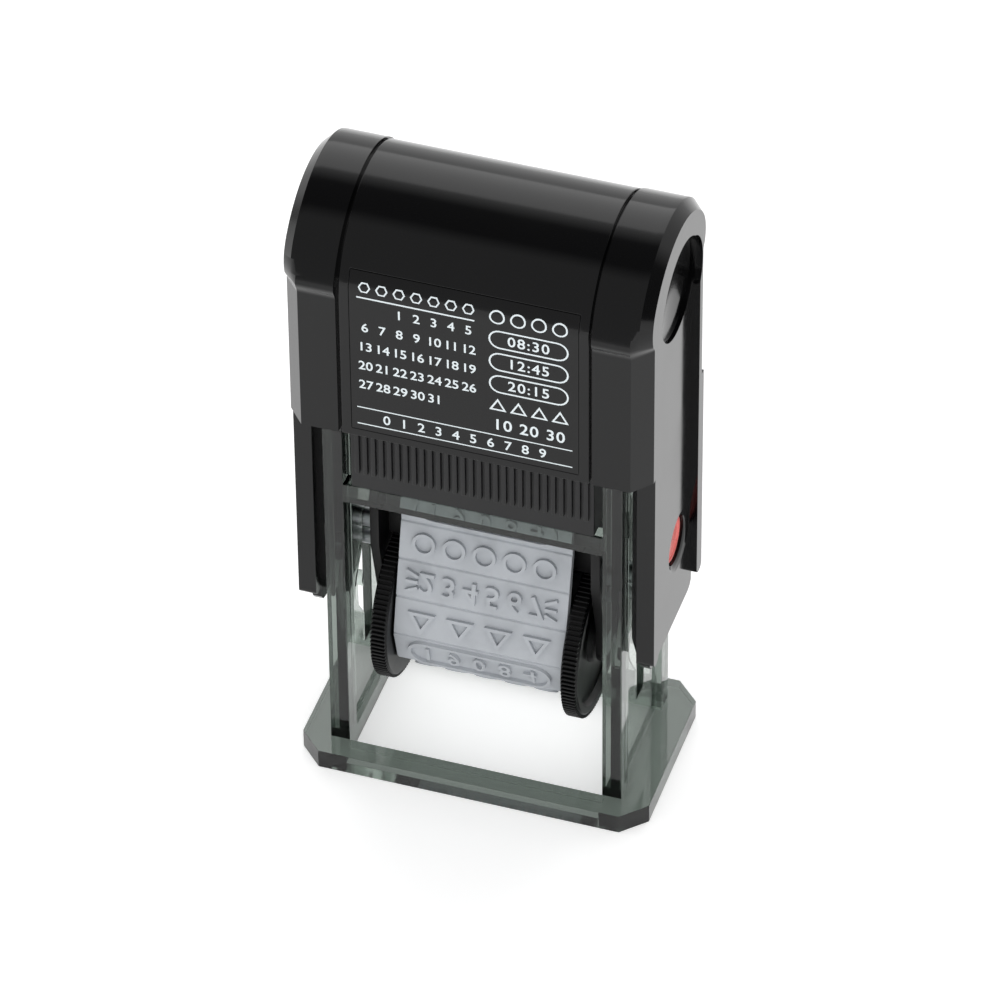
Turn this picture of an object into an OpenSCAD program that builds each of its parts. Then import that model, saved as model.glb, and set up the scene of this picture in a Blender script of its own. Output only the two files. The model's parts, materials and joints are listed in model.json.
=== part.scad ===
// Self-inking rotary band stamp. Pressing the case down over the clear frame turns the
// print unit over, from the ink pad above it to the paper below the foot ring.
// Frame of reference: +Z up, +X to the right, front towards -Y, origin under the middle of the foot ring.

/* [Print unit] */
// How far the case goes down
travel = 17; // [14:0.1:18]
// Width of the rubber band
band_w = 20.4; // [18:0.1:25]
// Distance from the flip axle to the print face
reach = 12.35; // [10:0.05:15]
// Distance from the flip axle down to the drum's axle
drum_drop = 10.5; // [10:0.1:12.6]
// Radius of the thumb wheels
wheel_r = 10; // [8:0.1:12]
// Thickness of a thumb wheel
wheel_t = 2; // [1.5:0.1:2.6]
// Radius of the band's outside round the drum
band_r = 7.6; // [6.5:0.1:8.5]
// Thickness of the rubber band without its raised lines
band_t = 1.2; // [0.9:0.1:1.6]
// Height of the raised print lines
relief = 0.5; // [0.3:0.05:0.7]
// Half the width of the print face
face_half = 2.4; // [2:0.1:3]
// Thickness of a carriage side plate
plate_t = 1.1; // [0.8:0.1:1.5]

/* [Frame] */
// Radius of the pivot pins
pin_r = 1.2; // [1:0.05:1.5]
// Room between the side plates and the frame's side walls
pin_room = 2.2; // [1.8:0.1:3]
// Thickness of the frame's side walls
wall_t = 1.1; // [0.9:0.1:1.5]
// Depth of the frame over its posts
frame_d = 18.2; // [17.2:0.1:22]
// Depth of a post, front to back
post_d = 2.6; // [2.2:0.1:3.2]
// How far the foot ring stands out in front of the posts
foot_flare = 2.9; // [2:0.1:4]
// Height of the foot ring
foot_h = 2.5; // [2:0.1:3]
// Height of the pad cartridge
cartridge_h = 8.6; // [8:0.1:10.5]

/* [Case] */
// Thickness of the skirt rails
rail_t = 2.1; // [1.8:0.1:2.6]
// Depth of the recessed side panel
panel_recess = 1; // [0.6:0.05:1.2]
// Thickness of the centre cover
cover_t = 0.6; // [0.5:0.05:0.8]
// Thickness of the skin under the centre cover
skin_t = 0.6; // [0.5:0.05:0.8]
// Room between the case and the frame's front
case_room = 1.1; // [0.8:0.1:1.6]
// Width of the centre cover
cover_w = 28.8; // [25:0.1:30]
// Width of the seam beside the centre cover
seam = 0.25; // [0.15:0.05:0.4]
// Height of the straight front of the case
front_h = 18.4; // [16:0.1:22]
// How much further the centre cover's dome would reach than the straight front
dome_stand = 0.4; // [0.3:0.05:1]
// How much larger the end caps' dome is than the cover's
cap_stand = 0.6; // [0.4:0.05:1.2]
// How far the label reaches up onto the dome
label_up = 5.2; // [0:0.1:6]
// Radius of the finger dish in each side
dish_r = 6.2; // [5:0.1:6.3]
// How far the finger dish lies behind the middle of the side panel
dish_shift = 2; // [0:0.1:2]
// Radius of the lock buttons
button_r = 2.9; // [2.4:0.05:3]

/* [Hidden] */
$fn = 64;
eps = 0.01;
running = 0.05;           // radial clearance of a shaft that turns
fixed = 0.02;             // radial clearance of a pin that stays put
gap = 0.2;                // side clearance between moving faces

// Widths, from the band outwards
wheel_x = band_w / 2 + gap;
plate_x = wheel_x + wheel_t + gap;
wall_x = plate_x + plate_t + pin_room;
wall_x1 = wall_x + wall_t;
post_proud = 0.6;
post_x = wall_x - post_proud;
post_x1 = wall_x1 + post_proud;
tongue_x = post_x1 + 0.3;
rail_x = post_x1 + 1.5;
case_x = rail_x + rail_t;
panel_x = case_x - panel_recess;
base_x = case_x - 0.2;

// Depths, from the frame outwards
post_y1 = frame_d / 2;
post_y = post_y1 - post_d;
base_y = post_y1 + foot_flare;
rib_h = 0.4;
foot_corner = 2.8;
bar_d = 1.8;
case_in_y = post_y1 + case_room;
skin_y = case_in_y + skin_t;
case_y = skin_y + cover_t;
dome_r = case_y + dome_stand;
rail_w = 1.8;
rail_inset = 2.9;
rail_y0 = case_y - rail_inset;
panel_y0 = rail_w - rail_y0;
panel_y1 = rail_y0 - 0.4;
rear_rail_y = panel_y1 + rail_w;
panel_mid = (panel_y0 + panel_y1) / 2;

// Heights, from the paper upwards
paper_gap = 0.05;
pad_gap = 0.1;
axle_low = reach + paper_gap;
drop_room = 1.5;
axle_z = axle_low + travel;
drum_z = axle_z - drum_drop;
pad_z = axle_z + reach + pad_gap;
bar_top = pad_z + 0.15;
bar_h = 2.6;
cartridge_z1 = bar_top + cartridge_h;
bridge_z = cartridge_z1 + 0.5;
bridge_t = 1.4;
case_z0 = bridge_z + 0.8;
dome_z = case_z0 + front_h;
cap_r = dome_r + cap_stand;
cap_z = dome_z - cap_stand;
cap_bevel = 1.2;
crease_z = dome_z + 2.6;
neck_h = 1.6;
rail_z0 = travel + foot_h + 3.85;
panel_z0 = travel + foot_h + 1.3;
tongue_z0 = travel + foot_h + 1.8;
top_z = dome_z + dome_r;

// Return spring
spring_wire = 1.1;
spring_r = 5.2;
spring_turns = 4.5;
spring_z0 = bridge_z + bridge_t;
seat_z = spring_z0 + travel + 6;

// Lock buttons
button_y = 4.1;
button_z = axle_z + 2.4;
button_t = 0.55;
button_sink = 0.7;
pocket_floor = tongue_x + 0.3;
button_x = panel_x - button_sink - button_t;

// Cam that turns the print unit over
cam_r = 3;
cam_pin_r = 0.9;
cam_depth = 0.7;
cam_steps = 24;
function cam_y(t) = -cam_r * sin(180 * t);
function cam_height(t) = axle_z - travel * t - cam_r * cos(180 * t);

// A block that is centred on X and Y and stands on z0
module block(w, d, z0, z1) {
    translate([-w / 2, -d / 2, z0]) cube([w, d, z1 - z0]);
}

// A box between two corners
module span(a, b) {
    translate(a) cube(b - a);
}

// A round bar along X from x0 to x1
module bar_x(r, x0, x1, y, z) {
    translate([x0, y, z]) rotate([0, 90, 0]) cylinder(r = r, h = x1 - x0);
}

// An outline drawn in Y and Z, extruded along X from x0 to x1
module along_x(x0, x1) {
    translate([x0, 0, 0]) rotate([90, 0, 90]) linear_extrude(height = x1 - x0) children();
}

// The same thing on the right and, mirrored, on the left
module both_sides() {
    children();
    mirror([1, 0, 0]) children();
}

// A helical spring that stands on Z = 0, drawn with a wire of wire_sides sides
module coil(r, wire_r, height, turns) {
    wire_sides = 6;
    steps_a_turn = 12;
    n = round(turns * steps_a_turn);
    rise = height - 2 * wire_r;
    ring = [for (i = [0 : n]) let (a = 360 * turns * i / n, z = wire_r + rise * i / n)
        for (k = [0 : wire_sides - 1]) let (b = 360 * k / wire_sides, d = r + wire_r * cos(b))
            [d * cos(a), d * sin(a), z + wire_r * sin(b)]];
    side = [for (i = [0 : n - 1]) for (k = [0 : wire_sides - 1]) let (m = (k + 1) % wire_sides)
        [i * wire_sides + k, i * wire_sides + m, (i + 1) * wire_sides + m, (i + 1) * wire_sides + k]];
    start = [[for (k = [wire_sides - 1 : -1 : 0]) k]];
    end = [[for (k = [0 : wire_sides - 1]) n * wire_sides + k]];
    polyhedron(ring, concat(side, start, end), convexity = 8);
}

// ---- Frame ----

module foot_outline() {
    c = foot_corner;
    polygon([
        for (s = [[1, 1], [-1, 1], [-1, -1], [1, -1]])
        for (k = s[0] * s[1] > 0 ? [0, 1] : [1, 0])
            [s[0] * (base_x - c * k), s[1] * (base_y - c * (1 - k))]
    ]);
}

module cam_groove() {
    r = cam_pin_r + 0.2;
    function tangent(t) = let (d = [-cam_r * PI * cos(180 * t), -travel + cam_r * PI * sin(180 * t)])
        d / norm(d);
    function edge(t, side) = let (n = tangent(t))
        [cam_y(t) + side * r * n[1], cam_height(t) - side * r * n[0]];
    steps = [for (i = [0 : cam_steps]) i / cam_steps];
    along_x(wall_x - eps, wall_x + cam_depth)
        polygon(concat([for (t = steps) edge(t, 1)], [for (i = [cam_steps : -1 : 0]) edge(steps[i], -1)]));
}

module pivot_slot() {
    r = pin_r + 0.15;
    span([wall_x - 1, -r, axle_low - r], [wall_x1 + 1, r, axle_z + r]);
}

module frame_side() {
    difference() {
        span([wall_x, -post_y - eps, foot_h - eps], [wall_x1, post_y + eps, bridge_z]);
        pivot_slot();
        cam_groove();
    }
    for (s = [-1, 1])
        span([post_x, min(s * post_y, s * post_y1), foot_h - eps],
             [post_x1, max(s * post_y, s * post_y1), bridge_z]);
}

module clear_frame() {
    color([0.45, 0.52, 0.48, 0.5]) union() {
        difference() {
            linear_extrude(height = foot_h) foot_outline();
            block(2 * post_x, 2 * post_y1, -1, foot_h + 1);
        }
        both_sides() frame_side();
        for (s = [-1, 1])
            span([-post_x - eps, s > 0 ? post_y1 - bar_d : -post_y1, bar_top - bar_h],
                 [post_x + eps, s > 0 ? post_y1 : bar_d - post_y1, bar_top]);
    }
}

module pad_cartridge() {
    w = 2 * (post_x - 1);
    pitch = 0.96;
    count = floor((w - 1.4) / pitch);
    rib_w = 0.62;
    rib_z = bar_top + 2.4;
    color([0.16, 0.16, 0.17]) difference() {
        union() {
            block(w, frame_d, bar_top, cartridge_z1);
            for (i = [0 : count - 1])
                translate([(i - (count - 1) / 2) * pitch, 0, 0])
                    block(rib_w, frame_d + 2 * rib_h, rib_z, cartridge_z1 - 0.2);
        }
        block(band_w + 4, frame_d - 3.8, bar_top - 1, bar_top + 4);
    }
}

module ink_pad() {
    color([0.1, 0.1, 0.12]) block(band_w + 3.6, frame_d - 4.2, pad_z, bar_top + 4);
}

module spring_bridge() {
    color([0.12, 0.12, 0.13]) union() {
        block(2 * post_x1, 2 * post_y1 - 2, bridge_z, bridge_z + bridge_t);
        translate([0, 0, bridge_z]) cylinder(r = spring_r - spring_wire / 2 - 0.6, h = bridge_t + 4);
    }
}

module return_spring() {
    color([0.75, 0.76, 0.78]) translate([0, 0, spring_z0])
        coil(spring_r, spring_wire / 2, seat_z - spring_z0, spring_turns);
}

// ---- Case ----

module front_outline(inset) {
    y = case_y - inset;
    translate([-y, case_z0]) square([2 * y, dome_z - case_z0]);
    intersection() {
        translate([0, dome_z]) circle(r = dome_r - inset);
        translate([-y, dome_z - eps]) square([2 * y, dome_r + 1]);
    }
}

// The upper part of an end cap, bevelled round its outer edge
module cap_dome() {
    start = cover_w / 2 + seam;
    intersection() {
        translate([start, 0, cap_z]) rotate([0, 90, 0]) rotate_extrude()
            polygon([[0, 0], [cap_r, 0], [cap_r, case_x - start - cap_bevel],
                     [cap_r - cap_bevel, case_x - start], [0, case_x - start]]);
        span([0, -cap_r - 1, crease_z], [case_x + 1, cap_r + 1, top_z + 5]);
    }
}

// The neck where the dome narrows to the body
module cap_neck() {
    bulge = sqrt(pow(cap_r, 2) - pow(crease_z - cap_z, 2));
    along_x(cover_w / 2 + seam, case_x - cap_bevel) polygon([
        [-case_y, crease_z - neck_h], [case_y, crease_z - neck_h],
        [bulge, crease_z + eps], [-bulge, crease_z + eps]
    ]);
}

// The lower part of an end cap, with its upright corners cut off
module cap_body() {
    cut_x = 2;
    cut_y = 2.3;
    start = cover_w / 2 + seam;
    translate([0, 0, case_z0]) linear_extrude(height = crease_z - case_z0 + 0.1)
        polygon([[start, -case_y], [case_x - cut_x, -case_y], [case_x, -case_y + cut_y],
                 [case_x, case_y - cut_y], [case_x - cut_x, case_y], [start, case_y]]);
}

module skirt() {
    span([rail_x, -rail_y0, rail_z0], [case_x, panel_y0, case_z0 + 1]);
    span([rail_x, panel_y1, rail_z0], [case_x, rear_rail_y, case_z0 + 1]);
    along_x(rail_x, panel_x) polygon([
        [panel_y0 - eps, case_z0 + 1], [panel_y0 - eps, panel_z0 + 1], [panel_y0 + 1.5, panel_z0],
        [rear_rail_y - 2, panel_z0], [rear_rail_y - 0.7, panel_z0 + 0.8], [rear_rail_y - 0.7, case_z0 + 1]
    ]);
    along_x(tongue_x, panel_x) polygon([
        [panel_y0 + 0.4, case_z0 + 1], [panel_y0 + 0.4, tongue_z0 + 4], [panel_y0 + 2.2, tongue_z0],
        [panel_y1 - 2, tongue_z0], [panel_y1 - 0.4, tongue_z0 + 3], [panel_y1 - 0.4, case_z0 + 1]
    ]);
}

module button_pocket() {
    r = button_r + 0.15;
    rim = 0.75;
    depth = panel_x - pocket_floor;
    translate([pocket_floor, button_y, button_z]) rotate([0, 90, 0]) rotate_extrude()
        polygon([[0, 0], [r, 0], [r, depth - 0.4], [r + rim, depth], [r + rim, depth + 1], [0, depth + 1]]);
}

module side_cuts() {
    // Recessed panel with an arched top
    arch = (panel_y1 - panel_y0) / 2;
    along_x(panel_x, case_x + 1) polygon(concat(
        [[panel_y0, rail_z0 - 5]],
        [for (a = [180 : -7.5 : 0]) [panel_mid + arch * cos(a), dome_z + arch * sin(a)]],
        [[panel_y1, rail_z0 - 5]]
    ));
    // Finger dish
    bar_x(dish_r, panel_x - 0.5, case_x + 1, panel_mid + dish_shift, dome_z);
    button_pocket();
    bar_x(pin_r + fixed, tongue_x - 1, tongue_x + 1.8, 0, axle_z);
}

module case_shell() {
    cavity_x = post_x1 + 0.4;
    color([0.07, 0.07, 0.075]) union() {
        difference() {
            union() {
                along_x(-cover_w / 2 - seam - eps, cover_w / 2 + seam + eps) front_outline(cover_t);
                both_sides() {
                    cap_dome();
                    cap_neck();
                    cap_body();
                    skirt();
                }
            }
            along_x(-cavity_x, cavity_x) front_outline(cover_t + skin_t);
            block(2 * cavity_x, 2 * case_in_y, case_z0 - 1, case_z0 + 1);
            both_sides() side_cuts();
        }
        intersection() {
            along_x(-cavity_x - eps, cavity_x + eps) front_outline(cover_t + skin_t / 2);
            block(2 * cavity_x + 1, 2 * case_y, seat_z, seat_z + 1.2);
        }
        translate([0, 0, seat_z - 2.4]) difference() {
            cylinder(r = spring_r + 2, h = 2.4 + eps);
            translate([0, 0, -1]) cylinder(r = spring_r + spring_wire / 2 + 0.3, h = 3.4);
        }
    }
}

label_x = cover_w / 2 - 1.1;
label_t = 0.25;
label_room = 0.1;
label_glue = 0.03;
label_z0 = case_z0 + 1;
label_z1 = dome_z + label_up;

// The outline's front, between two heights
module front_band(z0, z1) {
    intersection() {
        children();
        translate([-case_y - 2, z0]) square([4, z1 - z0]);
    }
}

module centre_cover() {
    color([0.06, 0.06, 0.065]) difference() {
        along_x(-cover_w / 2, cover_w / 2) difference() {
            front_outline(0);
            front_outline(cover_t);
        }
        along_x(-label_x, label_x) difference() {
            front_band(label_z0, label_z1) front_outline(-1);
            front_outline(label_t + label_glue);
        }
    }
}

module front_label() {
    color([0.1, 0.1, 0.12]) along_x(-label_x + label_room, label_x - label_room)
        front_band(label_z0 + label_room, label_z1 - label_room) difference() {
            front_outline(0);
            front_outline(label_t);
        }
}

module pivot_pin() {
    color([0.75, 0.76, 0.78]) bar_x(pin_r, plate_x + 0.1, tongue_x + 1.75, 0, axle_z);
}

module lock_button() {
    color([0.85, 0.22, 0.2]) bar_x(button_r, button_x, button_x + button_t, button_y, button_z);
}

module button_spring() {
    color([0.75, 0.76, 0.78]) translate([pocket_floor, button_y, button_z]) rotate([0, 90, 0])
        coil(1.6, 0.12, button_x - pocket_floor, 1.5);
}

// ---- Print unit ----

module side_plate() {
    top = axle_z + reach - 1;
    color([0.1, 0.1, 0.11]) difference() {
        union() {
            along_x(plate_x, plate_x + plate_t) polygon([
                [-face_half, top], [-5, top - 5], [-5, axle_z + 0.5], [-3.1, drum_z + 3], [-3.1, drum_z],
                [3.1, drum_z], [3.1, drum_z + 3], [5, axle_z + 0.5], [5, top - 5], [face_half, top]
            ]);
            bar_x(3.1, plate_x, plate_x + plate_t, 0, drum_z);
        }
        bar_x(pin_r + running, plate_x - 1, plate_x + plate_t + 1, 0, axle_z);
        bar_x(cam_pin_r + fixed, plate_x - 1, plate_x + plate_t + 1, cam_y(0), cam_height(0));
        bar_x(axle_r + fixed, plate_x - 1, plate_x + plate_t + 1, 0, drum_z);
    }
}

axle_r = 1.5;

module cam_pin() {
    color([0.75, 0.76, 0.78])
        bar_x(cam_pin_r, plate_x, wall_x + cam_depth - 0.2, cam_y(0), cam_height(0));
}

module tie_bar() {
    color([0.12, 0.12, 0.13]) block(2 * plate_x, 3, drum_z + wheel_r + 0.3, axle_z + 7);
}

platen_top = axle_z + reach - relief - band_t - 1;

module platen() {
    color([0.14, 0.14, 0.15]) block(band_w, 2 * (face_half - 0.6), axle_z + 7, platen_top);
}

module platen_cushion() {
    color([0.6, 0.6, 0.58]) block(band_w, 2 * (face_half - 0.6), platen_top, platen_top + 1);
}

// The band's path: a drum-sized circle drawn in to the print face
module band_outline(inset) {
    r = band_r - inset;
    h = face_half - 0.35 * inset;
    z = axle_z + reach - relief - inset;
    reach_d = norm([h, z - drum_z]);
    lean = atan(h / (z - drum_z)) + acos(r / reach_d);
    translate([0, drum_z]) circle(r = r, $fn = 96);
    polygon([[-h, z], [h, z], [r * sin(lean), drum_z + r * cos(lean)],
             [-r * sin(lean), drum_z + r * cos(lean)]]);
}

module print_band() {
    line_h = 4.2;
    color([0.6, 0.61, 0.66]) union() {
        along_x(-band_w / 2, band_w / 2) difference() {
            band_outline(0);
            band_outline(band_t);
        }
        translate([0, 0, axle_z + reach - relief - eps]) block(band_w - 2.4, line_h, 0, relief + eps);
    }
}

module drum_axle() {
    color([0.75, 0.76, 0.78]) bar_x(axle_r, -plate_x - plate_t, plate_x + plate_t, 0, drum_z);
}

module band_drum() {
    color([0.2, 0.2, 0.21]) difference() {
        bar_x(band_r - band_t - 0.1, -wheel_x, wheel_x, 0, drum_z);
        bar_x(axle_r + running, -wheel_x - 1, wheel_x + 1, 0, drum_z);
    }
}

module thumb_wheel() {
    color([0.08, 0.08, 0.085]) difference() {
        bar_x(wheel_r, wheel_x, wheel_x + wheel_t, 0, drum_z);
        bar_x(axle_r + running, wheel_x - 1, wheel_x + wheel_t + 1, 0, drum_z);
        difference() {
            bar_x(wheel_r - 1.6, wheel_x + wheel_t - 0.7, wheel_x + wheel_t + 1, 0, drum_z);
            bar_x(3.2, wheel_x, wheel_x + wheel_t + 2, 0, drum_z);
        }
    }
}

module left() {
    mirror([1, 0, 0]) children();
}

clear_frame();
pad_cartridge();
ink_pad();
spring_bridge();
return_spring();
case_shell();
centre_cover();
front_label();
left() pivot_pin();  // left_pivot_pin
pivot_pin();  // right_pivot_pin
left() lock_button();  // left_lock_button
lock_button();  // right_lock_button
left() button_spring();  // left_button_spring
button_spring();  // right_button_spring
left() side_plate();  // left_side_plate
side_plate();  // right_side_plate
left() cam_pin();  // left_cam_pin
cam_pin();  // right_cam_pin
tie_bar();
platen();
platen_cushion();
print_band();
drum_axle();
band_drum();
left() thumb_wheel();  // left_thumb_wheel
thumb_wheel();  // right_thumb_wheel
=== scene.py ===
"""Looks of a self-inking rotary band stamp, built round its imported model.

Everything is in metres in the model's own frame: +Z up, +X to the right, the front towards -Y.
Sizes that belong to this stamp are written in millimetres and turned to metres where a mesh is made.
"""
from __future__ import annotations

import json
import logging
import math
from dataclasses import dataclass, field
from enum import Enum
from typing import Any, Iterable, Sequence

import bmesh
import bpy
from mathutils import Matrix, Vector

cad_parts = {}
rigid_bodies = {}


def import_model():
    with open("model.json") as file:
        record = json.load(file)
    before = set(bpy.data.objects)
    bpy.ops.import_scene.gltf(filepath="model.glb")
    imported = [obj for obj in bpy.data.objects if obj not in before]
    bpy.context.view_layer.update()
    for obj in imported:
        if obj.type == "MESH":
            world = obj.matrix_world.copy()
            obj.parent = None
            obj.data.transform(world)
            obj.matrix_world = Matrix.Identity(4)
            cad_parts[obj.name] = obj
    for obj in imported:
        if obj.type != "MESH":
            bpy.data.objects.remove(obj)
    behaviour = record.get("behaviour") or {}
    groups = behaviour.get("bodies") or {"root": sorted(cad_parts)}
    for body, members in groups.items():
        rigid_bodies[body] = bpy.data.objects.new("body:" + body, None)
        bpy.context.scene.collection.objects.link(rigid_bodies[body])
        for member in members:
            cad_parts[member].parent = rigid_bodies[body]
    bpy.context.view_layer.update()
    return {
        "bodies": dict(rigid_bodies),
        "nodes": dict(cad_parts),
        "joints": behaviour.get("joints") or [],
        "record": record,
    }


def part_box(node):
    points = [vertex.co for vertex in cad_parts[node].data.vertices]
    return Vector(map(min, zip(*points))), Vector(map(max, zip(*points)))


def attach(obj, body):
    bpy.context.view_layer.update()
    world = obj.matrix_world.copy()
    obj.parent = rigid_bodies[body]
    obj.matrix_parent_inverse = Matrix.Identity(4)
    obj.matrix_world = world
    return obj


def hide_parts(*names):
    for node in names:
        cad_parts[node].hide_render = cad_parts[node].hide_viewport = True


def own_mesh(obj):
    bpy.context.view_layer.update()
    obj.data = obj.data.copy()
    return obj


MM = 0.001
log = logging.getLogger("stamp")

Point = Sequence[float]


# ---------------------------------------------------------------- small helpers


def linear(hex_colour: str) -> tuple[float, float, float, float]:
    """Turns an sRGB hex colour to linear.

    Args:
        hex_colour: six hex digits, without a hash sign.

    Returns:
        Red, green, blue and an alpha of one.
    """
    parts = [int(hex_colour[i : i + 2], 16) / 255 for i in (0, 2, 4)]
    out = [c / 12.92 if c <= 0.04045 else ((c + 0.055) / 1.055) ** 2.4 for c in parts]
    return out[0], out[1], out[2], 1.0


def add_node(tree: bpy.types.NodeTree, kind: str, values: dict[str | int, Any] | None = None,
             links: dict[str | int, Any] | None = None, **settings: Any) -> bpy.types.Node:
    """Adds one node to a tree.

    Args:
        tree: the tree that the node goes into.
        kind: the node's type name.
        values: what its inputs are set to, by name or number.
        links: the sockets that its inputs are linked from, by name or number.
        settings: the node's own properties.

    Returns:
        The new node.
    """
    made = tree.nodes.new(kind)
    for key, value in settings.items():
        setattr(made, key, value)
    for key, value in (values or {}).items():
        made.inputs[key].default_value = value
    for key, socket in (links or {}).items():
        tree.links.new(socket, made.inputs[key])
    return made


def apply_modifiers(piece: bpy.types.Object) -> bpy.types.Object:
    """Turns a piece and its modifiers into a plain mesh.

    Args:
        piece: the object whose modifiers are applied.

    Returns:
        The same object, with no modifiers left.
    """
    graph = bpy.context.evaluated_depsgraph_get()
    mesh = bpy.data.meshes.new_from_object(piece.evaluated_get(graph), depsgraph=graph)
    piece.modifiers.clear()
    piece.data = mesh
    return piece


def link_mesh(name: str, mesh: bpy.types.Mesh) -> bpy.types.Object:
    """Puts a mesh into the scene as an object at the origin."""
    piece = bpy.data.objects.new(name, mesh)
    bpy.context.scene.collection.objects.link(piece)
    return piece


def mesh_piece(name: str, points: Iterable[Point], faces: Iterable[Sequence[int]]) -> bpy.types.Object:
    """Makes an object from points in millimetres.

    Args:
        name: the object's name.
        points: corners, in millimetres.
        faces: corner numbers of each face.

    Returns:
        The new object, with its faces turned outwards.
    """
    mesh = bpy.data.meshes.new(name)
    mesh.from_pydata([[c * MM for c in p] for p in points], [], [list(f) for f in faces])
    bm = bmesh.new()
    bm.from_mesh(mesh)
    bmesh.ops.remove_doubles(bm, verts=bm.verts, dist=1e-7)
    bmesh.ops.recalc_face_normals(bm, faces=bm.faces)
    bm.to_mesh(mesh)
    bm.free()
    return link_mesh(name, mesh)


def loft(name: str, rings: Sequence[Sequence[Point]], closed_path: bool = False) -> bpy.types.Object:
    """Joins rings of points into a skin.

    Args:
        name: the object's name.
        rings: rings with as many points each, in millimetres.
        closed_path: whether the last ring joins the first, as in a torus.

    Returns:
        The closed mesh object.
    """
    n, m = len(rings[0]), len(rings)
    points = [p for ring in rings for p in ring]
    last = m if closed_path else m - 1
    faces = [
        [i * n + k, i * n + (k + 1) % n, (i + 1) % m * n + (k + 1) % n, (i + 1) % m * n + k]
        for i in range(last) for k in range(n)
    ]
    if not closed_path:
        faces += [list(range(n))[::-1], [(m - 1) * n + k for k in range(n)]]
    return mesh_piece(name, points, faces)


def block(name: str, low: Point, high: Point) -> bpy.types.Object:
    """Makes a box between two corners, in millimetres."""
    (x0, y0, z0), (x1, y1, z1) = low, high
    rings = [[(x0, y0, z), (x1, y0, z), (x1, y1, z), (x0, y1, z)] for z in (z0, z1)]
    return loft(name, rings)


def extrude_x(name: str, outline: Sequence[tuple[float, float]], x0: float, x1: float) -> bpy.types.Object:
    """Extrudes an outline in Y and Z along X, in millimetres."""
    return loft(name, [[(x, y, z) for y, z in outline] for x in (x0, x1)])


def lathe_x(name: str, profile: Sequence[tuple[float, float]], centre: tuple[float, float],
            steps: int = 96) -> bpy.types.Object:
    """Turns a closed profile about an axis along X.

    Args:
        name: the object's name.
        profile: closed outline as pairs of x and radius, in millimetres.
        centre: the axis's Y and Z.
        steps: how many sides the round has.

    Returns:
        The turned mesh object.
    """
    angles = [2 * math.pi * i / steps for i in range(steps)]
    rings = [[(x, centre[0] + r * math.cos(a), centre[1] + r * math.sin(a)) for x, r in profile]
             for a in angles]
    return loft(name, rings, closed_path=True)


def arc(centre: tuple[float, float], radius: float, start: float, end: float,
        steps: int) -> list[tuple[float, float]]:
    """Points on an arc, with its angles in degrees."""
    return [
        (centre[0] + radius * math.cos(math.radians(start + (end - start) * i / steps)),
         centre[1] + radius * math.sin(math.radians(start + (end - start) * i / steps)))
        for i in range(steps + 1)
    ]


def cut(target: bpy.types.Object, tool: bpy.types.Object, operation: str = "DIFFERENCE") -> None:
    """Cuts or joins a solid with another, which is then removed."""
    step = target.modifiers.new("cut", "BOOLEAN")
    step.object = tool
    step.operation = operation
    step.solver = "EXACT"
    apply_modifiers(target)
    bpy.data.objects.remove(tool)


def soften(piece: bpy.types.Object, width: float, segments: int = 2, angle: float = 35) -> None:
    """Rounds a piece's sharp edges.

    Args:
        piece: the object.
        width: width of the rounded edge, in millimetres.
        segments: how many faces cross the edge.
        angle: edges sharper than this are rounded, in degrees.
    """
    step = piece.modifiers.new("edges", "BEVEL")
    step.width = width * MM
    step.segments = segments
    step.limit_method = "ANGLE"
    step.angle_limit = math.radians(angle)
    step.use_clamp_overlap = True
    step.harden_normals = False
    step.miter_outer = "MITER_ARC"
    apply_modifiers(piece)


def smooth(piece: bpy.types.Object, angle: float = 30) -> None:
    """Shades a piece smooth, with edges over the angle kept sharp."""
    mesh = piece.data
    mesh.polygons.foreach_set("use_smooth", [True] * len(mesh.polygons))
    mesh.set_sharp_from_angle(angle=math.radians(angle))
    step = piece.modifiers.new("shading", "WEIGHTED_NORMAL")
    step.keep_sharp = True
    apply_modifiers(piece)


def dress(piece: bpy.types.Object, material: bpy.types.Material, body: str, slot: str,
          *replaced: str) -> bpy.types.Object:
    """Gives a finished piece its material and body, and hides the imported nodes that it stands for."""
    piece.data.materials.clear()
    piece.data.materials.append(material)
    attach(piece, body)
    if replaced:
        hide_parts(*replaced)
    log.info("%s rides on %s", piece.name, body)
    return piece


def crowned_pad(name: str, low: Point, high: Point, crown: float, pull: float) -> bpy.types.Object:
    """Makes a foam pad with one crowned face and sides that pull in between its corners.

    Args:
        name: the object's name.
        low: lowest corner of the space that it fills, in millimetres.
        high: highest corner of that space.
        crown: how far the crowned face falls to its edge; above zero for the top, below for the bottom.
        pull: how far the sides pull in halfway between two corners.

    Returns:
        The pad, with rounded edges.
    """
    piece = block(name, low, high)
    bm = bmesh.new()
    bm.from_mesh(piece.data)
    bmesh.ops.subdivide_edges(bm, edges=bm.edges[:], cuts=14, use_grid_fill=True)
    centre = [(a + b) / 2 * MM for a, b in zip(low, high)]
    half = [(b - a) / 2 * MM for a, b in zip(low, high)]
    for vertex in bm.verts:
        u, v, w = ((vertex.co[i] - centre[i]) / half[i] for i in range(3))
        vertex.co.x -= u * pull * MM * (1 - v * v) * (1 - 0.5 * w * w)
        vertex.co.y -= v * pull * MM * (1 - u ** 4) * (1 - 0.5 * w * w)
        if w * crown > 0:
            vertex.co.z -= crown * MM * abs(w) * max(u ** 4, v ** 4)
    bm.to_mesh(piece.data)
    bm.free()
    soften(piece, 0.3, 3, 50)
    smooth(piece, 60)
    return piece


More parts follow.
